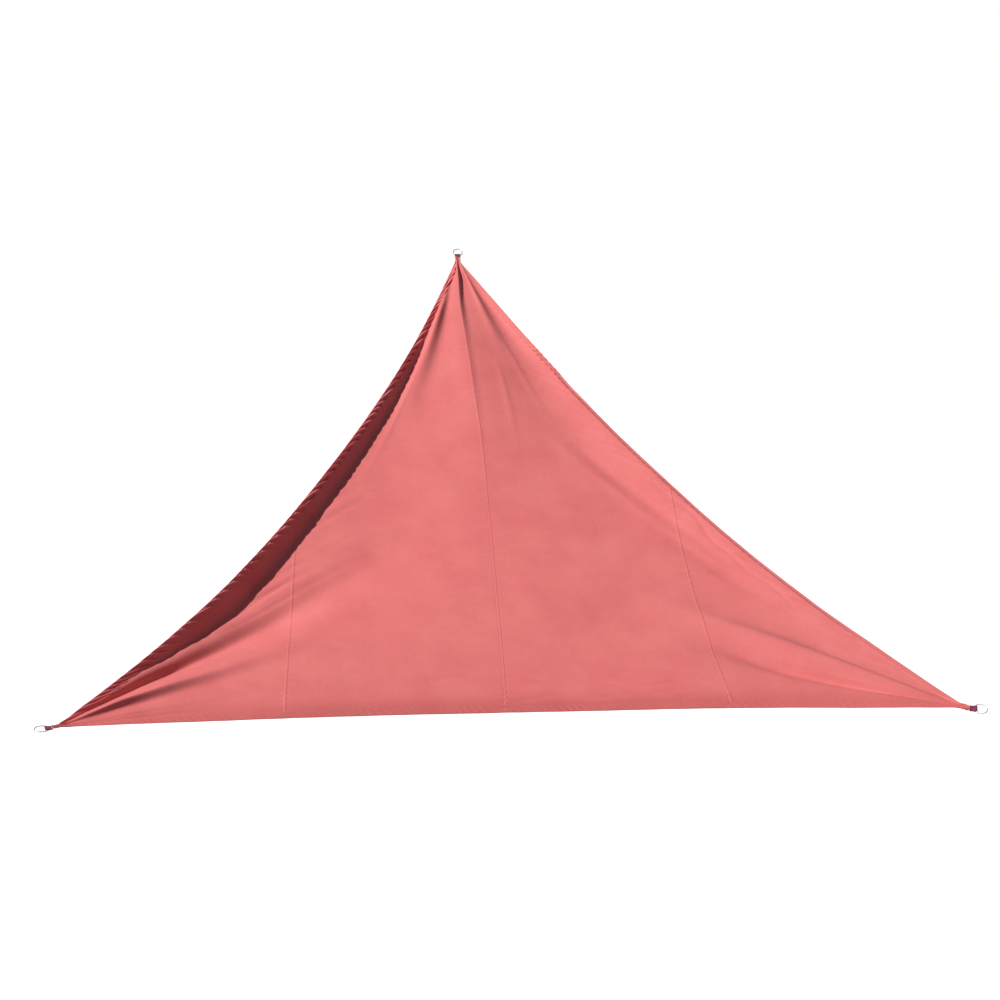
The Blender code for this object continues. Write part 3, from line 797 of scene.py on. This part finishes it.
def sewn_strip(name, run, line, inward, width, section, lift, flat_width, painted_base_shade=False):
    """A closed strip that follows the cloth: a ring of points swept along a line."""
    share, rise = np.array(section).T
    w = width[:, None] * share[None]
    s = line[:, None, 0] + inward[:, None, 0] * w
    t = line[:, None, 1] + inward[:, None, 1] * w
    n = cloth_height(s, t) + rise[None] * np.ones_like(w) + lift(w)
    points = place(s, t, n)
    rows, columns = w.shape
    bm = bmesh.new()
    bmesh.ops.create_grid(bm, x_segments=rows - 1, y_segments=columns, size=0.5)
    order = sorted(bm.verts, key=lambda v: (round(v.co.x, 6), round(v.co.y, 6)))
    seam = bm.loops.layers.uv.new("weave")
    where = {}
    for k, v in enumerate(order):
        i, j = divmod(k, columns + 1)
        where[v] = (i, j)
        v.co = points[i, j % columns]
    for face in bm.faces:
        for loop in face.loops:
            i, j = where[loop.vert]
            loop[seam].uv = (run[i], share[j % columns] * flat_width)
    bmesh.ops.remove_doubles(bm, verts=bm.verts[:], dist=1e-7)
    bmesh.ops.holes_fill(bm, edges=[e for e in bm.edges if e.is_boundary])
    bmesh.ops.recalc_face_normals(bm, faces=bm.faces[:])
    mesh = as_mesh(name, bm)
    # weight of the painted shade beside the base, the same all over a strip
    depth = mesh.attributes.new(name="painted_base_shade", type="FLOAT", domain="POINT")
    depth.data.foreach_set("value", [float(painted_base_shade)] * len(mesh.vertices))
    mesh.shade_smooth()
    return in_scene(name, mesh)


def hem_strip(name):
    """The hem of one edge, ruffled, and bunched up where it runs into a neck."""
    pitch, slants, depths, crests = RUFFLES[name]
    run, line, way = even_line(EDGE[name].points, HEM_ROW)
    inward = np.stack([-way[:, 1], way[:, 0]], axis=-1) * EDGES[name][2]
    total = run[-1]
    from_end = np.minimum(run, total - run)
    near_neck = 1 - smooth((from_end - BUNCH_LONG) / OPENS_OVER)
    width = HEM - (HEM - HEM_AT_NECK) * near_neck
    slant, depth, sharp = (table(rows, run / total)[:, None] for rows in (slants, depths, crests))
    rim_up = (table(RIM_UP, run / total) if name == "left" else np.zeros(len(run)))[:, None]
    turns = run / pitch + 0.30 * wander(run * 1.3, len(name) * 1.0)
    uneven = (0.72 + 0.28 * np.sin(13.0 * run + 2.0 * np.sin(4.1 * run)))[:, None]

    def lift(w):
        across = w / width[:, None]
        phase = 2 * math.pi * (turns[:, None] + slant * w / pitch)
        strand = np.sin(phase - sharp * np.sin(phase))
        risen = RUFFLE_AT_RIM + (1 - RUFFLE_AT_RIM) * smooth(across / RUFFLE_RISES)
        free = 1 - smooth((across - RUFFLE_ENDS) / RUFFLE_FADES)
        bunched = BUNCH_HIGH * near_neck[:, None] * np.sin(math.pi * np.clip(across, 0, 1))
        leaning = rim_up * (0.5 - smooth(across / LIFT_LEVELS))
        return (depth * uneven * (strand * risen) + leaning) * free + bunched

    rim = RIM_DRAWN * depth * np.sin(2 * math.pi * turns)[:, None]
    line = line + inward * (np.maximum(rim, 0.0) - RIM_BULGE * near_neck[:, None])
    # only the base hem gets the painted shade, all over
    piece, painted_base_shade = f"hem_{name}", name == "base"
    return sewn_strip(piece, run, line, inward, width, HEM_SECTION, lift, HEM, painted_base_shade)


hem_cloth = woven_coral("coral_hem", (HEM_SEWN,))
hems = {name: coral(hem_strip(name), hem_cloth) for name in EDGES}

# ------------------------ the felled seams
# Where two panels meet, their edges are folded round each other and sewn flat
# in two rows, so each seam is a narrow raised band of four layers.
SEAM_SEWN = 0.34 * SEAM  # how far each row of stitches is from the seam's middle
SEAM_AT_NECK = 0.006  # width of the centre seam where it runs into the apex neck
SEAM_SHORT = 0.012  # how much a seam's ends stop short, under the hems
SEAM_ROW = 0.0045  # length of seam from one row of points to the next
SEAM_WAVE, SEAM_WAVE_HIGH = 0.027, 0.00025  # the faint ripple along a seam
# Round the seam's section: share of the width from its middle, and height. The
# two rows of stitches lie in its two dips.
SEAM_SECTION = (
    (-0.50, 0.0002), (-0.46, 0.0008), (-0.38, 0.0010), (-0.32, 0.0008), (-0.24, 0.0012),
    (0.00, 0.0013), (0.24, 0.0012), (0.32, 0.0008), (0.38, 0.0010), (0.46, 0.0008),
    (0.50, 0.0002), (0.40, -0.0012), (0.00, -0.0015), (-0.40, -0.0012),
)


def seam_strip(name):
    """One felled seam, from inside the base hem up to a hem or the apex neck."""
    (_, t0), (_, t1) = SEAM_ENDS[name]
    short = SEAM_SHORT / (t1 - t0)
    kept = seam_point(name, np.linspace(short, 1 - short if name != "centre" else 1.0, 400))
    run, line, way = even_line(kept, SEAM_ROW)
    inward = np.stack([way[:, 1], -way[:, 0]], axis=-1)
    width = np.full(len(run), SEAM)
    if name == "centre":
        wide = smooth((run[-1] - run - 0.01) / 0.08)
        width = SEAM_AT_NECK + (SEAM - SEAM_AT_NECK) * wide

    def lift(w):
        phase = 2 * math.pi * run / SEAM_WAVE + 1.4 * wander(run, 3.0 + len(name))
        return SEAM_WAVE_HIGH * np.sin(phase)[:, None] * np.ones_like(w)

    return sewn_strip(f"seam_{name}", run, line, inward, width, SEAM_SECTION, lift, SEAM)


seam_cloth = woven_coral("coral_seam", (-SEAM_SEWN, SEAM_SEWN))
seams = {name: coral(seam_strip(name), seam_cloth) for name in SEAMS}

# Each panel's flat cut size and area, the tab it hangs from, and the hems and seams that go with
# it: a hem or seam goes with the panel that has the longest part of it. The loop below only walks
# this table.
CUTS = {
    #                      width  length  area    hangs from  its hems and seams
    "panel_left": (0.924, 1.291, 0.5275, "tab_left", (seams["left"],)),
    "panel_centre_left": (0.893, 2.989, 1.7117, "tab_apex", (hems["left"], seams["centre"])),
    "panel_centre_right": (0.871, 2.984, 1.7455, "tab_apex", (hems["right"], hems["base"])),
    "panel_right": (0.954, 1.462, 0.6207, "tab_right", (seams["right"],)),
}
for name, (wide, long, area, hangs_from, sewn_on) in CUTS.items():
    list(sewn_on)

# ------------------------ the webbing loops
# A short length of dark maroon polyester webbing is folded round the bar of
# each ring, laid together and sewn to the gathered neck of the cloth.
RING_LONG = 0.047
RING_WIDE = 0.046
RING_BAR = 0.005
TAB_WIDE = 0.027
WEBBING = 0.0018
WEBBING_CLEAR = 0.0003  # gap between its cut ends and the cloth
RING_CLEAR = 0.0005  # gap between it and the bar
SHUT = RING_LONG - RING_BAR / 2 + 0.011  # where its two layers close behind the bar
SELVEDGE = 0.0016  # how far in from its sides it thins
RIB, WARP_END = 0.0018, 0.0011  # pitches of its weave
# Half the length of a stitch across and along the strap, half its width and height,
# and how far the rows along it are from its middle.
CROSS_HALF, LONG_HALF, THREAD_HALF, THREAD_HIGH = 0.0014, 0.0013, 0.00035, 0.0003
STITCH_ROW = 0.0105
CROSS_PITCH, LONG_PITCH = 0.0035, 0.0032  # from one stitch to the next


def corner_frame(corner):
    """The ring's frame: X from the ring's outer end to the cloth, Z square to the ring."""
    s, t, pull, _, reach, _, roll = CORNERS[corner]
    cloth = np.array([s, t]) + turn(reach, pull)
    tip = place(s, t, 0.0)
    neck = place(cloth[0], cloth[1], hung_height(cloth[0], cloth[1]))
    x = Vector(neck - tip).normalized()
    y = Vector(SQUARE).cross(x).normalized()
    turned = Matrix((x, y, x.cross(y))).transposed().to_4x4()
    return Matrix.Translation(tip) @ turned @ Matrix.Rotation(math.radians(roll), 4, "X")


def finish_piece(name, bm, material, corner):
    """Moves a piece from its ring's frame into the sail's, and rides it on the root."""
    bmesh.ops.transform(bm, matrix=corner_frame(corner), verts=bm.verts[:])
    bmesh.ops.recalc_face_normals(bm, faces=bm.faces[:])
    mesh = as_mesh(name, bm)
    mesh.shade_smooth()
    mesh.set_sharp_from_angle(angle=math.radians(50))
    mesh.materials.append(material)
    piece = in_scene(name, mesh)
    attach(piece, "root")
    return piece


def webbing_finish():
    """Flat webbing: ribs across the strap, fine lines along it, a little wear, and a painted
    highlight on the crowns of its weave.
    """
    strap = Finish("maroon_webbing", "lie")
    u, v, _ = strap.parts(strap.lie)
    ribs = strap.math("SINE", strap.math("MULTIPLY", u, 2 * math.pi / RIB))
    ends = strap.math("SINE", strap.math("MULTIPLY", v, 2 * math.pi / WARP_END))
    weave = strap.math("MULTIPLY", ribs, ends)
    wear = strap.noise(strap.where, 160.0, detail=3.0)
    worn = strap.ramp(wear, (0.085, 0.009, 0.034), (0.20, 0.026, 0.066))
    # painted highlight: the weave's crowns are painted paler, as if lit
    lit = strap.math("MULTIPLY", strap.math("ADD", weave, 1.0), 0.5)
    half_lit = strap.math("MULTIPLY", lit, 0.5)
    strap.set(Base_Color=strap.mix(half_lit, worn, (0.24, 0.035, 0.085)))
    strap.set(Roughness=0.62, Sheen_Weight=0.25, Sheen_Roughness=0.4, Specular_IOR_Level=0.4)
    strap.bump([(wear, 0.0004, 0.4), (ribs, 0.0004, 0.5), (weave, 0.0003, 0.5)])
    return strap.material


def strap_path(reach):
    """The middle line of the folded webbing, in the ring's frame."""
    bar = RING_LONG - RING_BAR / 2
    radius = RING_BAR / 2 + RING_CLEAR + WEBBING / 2
    end = reach - WEBBING_CLEAR
    middle = WEBBING / 2
    upper = [(end + (SHUT - end) * k / 6, middle) for k in range(7)]
    round_bar = []
    for k in range(17):
        a = math.radians(75 + 210 * k / 16)
        round_bar.append((bar + radius * math.cos(a), radius * math.sin(a)))
    lower = [(SHUT + (end - SHUT) * k / 6, -middle) for k in range(7)]
    return [Vector((x, 0, z)) for x, z in upper + round_bar + lower]


def build_strap(corner, material):
    """The strap's section, with thinner selvedges, swept round the bar."""
    path = strap_path(CORNERS[corner][4])
    half, thin = TAB_WIDE / 2, WEBBING / 2
    section = []
    for side in (1, -1):
        for k in range(9):
            across = side * half * (1 - 0.25 * k)
            edge = min(1.0, (half - abs(across)) / SELVEDGE)
            section.append((across, side * thin * (0.45 + 0.55 * edge**0.5)))
    bm = bmesh.new()
    lie = bm.loops.layers.uv.new("lie")
    rings, run, spot = [], 0.0, {}
    for k, point in enumerate(path):
        way = (path[min(k + 1, len(path) - 1)] - path[max(k - 1, 0)]).normalized()
        out = Vector((0, 1, 0)).cross(way)
        if k:
            run += (point - path[k - 1]).length
        ring = [bm.verts.new(point + Vector((0, a, 0)) + out * b) for a, b in section]
        for vert, (a, _) in zip(ring, section):
            spot[vert] = (run, a)
        rings.append(ring)
    for one, two in zip(rings, rings[1:]):
        for k in range(len(one)):
            m = (k + 1) % len(one)
            bm.faces.new((one[k], one[m], two[m], two[k]))
    bm.faces.new(rings[0])
    bm.faces.new(rings[-1][::-1])
    for face in bm.faces:
        for loop in face.loops:
            loop[lie].uv = spot[loop.vert]
    strap = finish_piece(f"webbing_{corner}", bm, material, corner)
    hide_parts(f"tab_{corner}")


def thread_finish():
    """Thick maroon thread, a little paler than the webbing."""
    thread = Finish("maroon_thread")
    twist_lines = thread.noise(thread.where, 2600.0, detail=2.0)
    thread.set(Base_Color=thread.ramp(twist_lines, (0.22, 0.03, 0.075), (0.34, 0.06, 0.12)))
    thread.set(Roughness=0.5, Sheen_Weight=0.2)
    thread.bump([(twist_lines, 0.0001, 0.6)])
    return thread.material


def build_stitching(corner, material):
    """Rows of thick thread that sew the webbing's two layers together on both faces."""
    first = SHUT + 0.0012
    last = CORNERS[corner][4] - WEBBING_CLEAR - 0.0016
    count = max(1, int((last - first) / LONG_PITCH))
    bm = bmesh.new()

    def stitch(x, y, z, size, axis):
        spot = Matrix.Translation((x, y, z)) @ Matrix.Diagonal((*size, THREAD_HIGH, 1))
        lie = spot @ Matrix.Rotation(math.pi / 2, 4, axis)
        bmesh.ops.create_uvsphere(bm, u_segments=8, v_segments=5, radius=1, matrix=lie)

    for z in (WEBBING + 0.0001, -WEBBING - 0.0001):
        for x in (first, last):
            for k in range(7):
                stitch(x, (k - 3) * CROSS_PITCH, z, (THREAD_HALF, CROSS_HALF), "X")
        for y in (-STITCH_ROW, STITCH_ROW):
            for k in range(count):
                x = first + (last - first) * (k + 0.5) / count
                stitch(x, y, z, (LONG_HALF, THREAD_HALF), "Y")
    stitches = finish_piece(f"stitching_{corner}", bm, material, corner)


webbing = webbing_finish()
maroon_thread = thread_finish()
for corner in CORNERS:
    build_strap(corner, webbing)
    build_stitching(corner, maroon_thread)

# ------------------------ the rings
# A D-ring at each corner, bent from 5 mm steel bar with its straight bar in
# the webbing, welded shut and polished. A rope or hook would pull on its arc.
RING_BEND = 0.006  # radius of its two small corners, at the middle of the bar
WELD_AT = 0.0315  # from the ring's outer end
WELD_PROUD = 0.0005


def steel_finish():
    """Polished steel, drawn along the bar, with soft scuffs."""
    steel = Finish("steel")
    grain = steel.noise(steel.where, 900.0, (1.0, 1.0, 0.12), 3.0)
    scuffs = steel.noise(steel.where, 140.0, detail=5.0, rough=0.65)
    steel.set(Base_Color=steel.ramp(scuffs, (0.66, 0.67, 0.69), (0.84, 0.85, 0.86)))
    steel.set(Metallic=0.6, Roughness=steel.between(scuffs, 0.20, 0.42))
    steel.bump([(scuffs, 0.0002, 0.25), (grain, 0.00005, 0.4)])
    return steel.material


def build_steel_ring(corner, material):
    """Round bar: spun round the outer arc and both small corners, drawn straight between."""
    half = (RING_WIDE - RING_BAR) / 2
    near = RING_BAR / 2 + half
    far = RING_LONG - RING_BAR / 2
    bend = RING_BEND
    bm = bmesh.new()
    start = Matrix.Translation((far, -(half - bend), 0)) @ Matrix.Rotation(math.pi / 2, 4, "X")
    end = bmesh.ops.create_circle(
        bm, cap_ends=False, segments=24, radius=RING_BAR / 2, matrix=start
    )
    edges = list({e for v in end["verts"] for e in v.link_edges})

    def draw(way):
        out = bmesh.ops.extrude_edge_only(bm, edges=edges)["geom"]
        moved = [g for g in out if isinstance(g, bmesh.types.BMVert)]
        bmesh.ops.translate(bm, verts=moved, vec=way)
        return [g for g in out if isinstance(g, bmesh.types.BMEdge)]

    def bend_round(centre, angle, steps):
        out = bmesh.ops.spin(
            bm, geom=edges, cent=centre, axis=(0, 0, 1), angle=angle, steps=steps, use_merge=False
        )
        return [g for g in out["geom_last"] if isinstance(g, bmesh.types.BMEdge)]

    edges = draw((0, 2 * (half - bend), 0))
    edges = bend_round((far - bend, half - bend, 0), math.pi / 2, 10)
    edges = draw((near - (far - bend), 0, 0))
    edges = bend_round((near, 0, 0), math.pi, 48)
    edges = draw((far - bend - near, 0, 0))
    edges = bend_round((far - bend, -(half - bend), 0), math.pi / 2, 10)
    bmesh.ops.remove_doubles(bm, verts=bm.verts[:], dist=1e-6)
    ring = finish_piece(f"steel_ring_{corner}", bm, material, corner)
    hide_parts(f"ring_{corner}")


def build_weld(corner, material):
    """The low bead where the bar's two ends were welded, on one straight leg."""
    half = (RING_WIDE - RING_BAR) / 2
    radius = RING_BAR / 2 + WELD_PROUD
    bm = bmesh.new()
    spot = Matrix.Translation((WELD_AT, half, 0)) @ Matrix.Rotation(math.pi / 2, 4, "Y")
    lie = spot @ Matrix.Diagonal((1, 1, 0.62, 1))
    bmesh.ops.create_uvsphere(bm, u_segments=24, v_segments=14, radius=radius, matrix=lie)
    weld = finish_piece(f"weld_{corner}", bm, material, corner)


steel = steel_finish()
for corner in CORNERS:
    build_steel_ring(corner, steel)
    build_weld(corner, steel)

# ------------------------ floor, light and view
# The sail hangs with its low corners well over head height, above a plain pale
# floor. A high lamp from the left lights it, with a soft even fill all round.
FLOOR = -4.1
FLOOR_REACH = 600  # so far that its rim never shows
bm = bmesh.new()
level = Matrix.Translation((0, 0, FLOOR))
bmesh.ops.create_grid(bm, x_segments=8, y_segments=8, size=FLOOR_REACH, matrix=level)
floor = in_scene("floor", as_mesh("floor", bm))
plain = Finish("pale_floor")
plain.set(Base_Color=(0.93, 0.93, 0.93, 1), Roughness=0.9)
plain.set(Emission_Color=(1, 1, 1, 1), Emission_Strength=0.30)
floor.data.materials.append(plain.material)
floor.visible_diffuse = False  # the floor reads white but throws no light up at the sail

lamp = bpy.data.lights.new("key", "SUN")
lamp.energy = 5.05
lamp.angle = math.radians(1.2)
lamp.color = (1.0, 0.985, 0.965)
key = in_scene("key", lamp)
key_from = -0.75 * ACROSS + 0.10 * UP_SLOPE + 0.65 * SQUARE
key.rotation_euler = Vector(key_from).to_track_quat("Z", "Y").to_euler()

world = bpy.data.worlds.new("studio")
bpy.context.scene.world = world
world.use_nodes = True
nodes, links = world.node_tree.nodes, world.node_tree.links
sky, out = nodes["Background"], nodes["World Output"]
sky.inputs["Color"].default_value = (0.86, 0.84, 1.0, 1)
sky.inputs["Strength"].default_value = 0.176
white = nodes.new("ShaderNodeBackground")
white.inputs["Color"].default_value = (1, 1, 1, 1)
seen = nodes.new("ShaderNodeLightPath")
either = nodes.new("ShaderNodeMixShader")
links.new(seen.outputs["Is Camera Ray"], either.inputs[0])
links.new(sky.outputs[0], either.inputs[1])
links.new(white.outputs[0], either.inputs[2])
links.new(either.outputs[0], out.inputs["Surface"])
bpy.context.scene.view_settings.view_transform = "Standard"

lens = bpy.data.cameras.new("camera")
lens.lens = 80
lens.sensor_width = 36
lens.clip_end = 1500
camera = in_scene("camera", lens)
camera.location = (-1.02063407, -10.69143365, -0.27073116)
looks = Vector((0.11350078, 0.98970776, -0.08715574))
camera.rotation_euler = looks.to_track_quat("-Z", "Y").to_euler()
bpy.context.scene.camera = camera
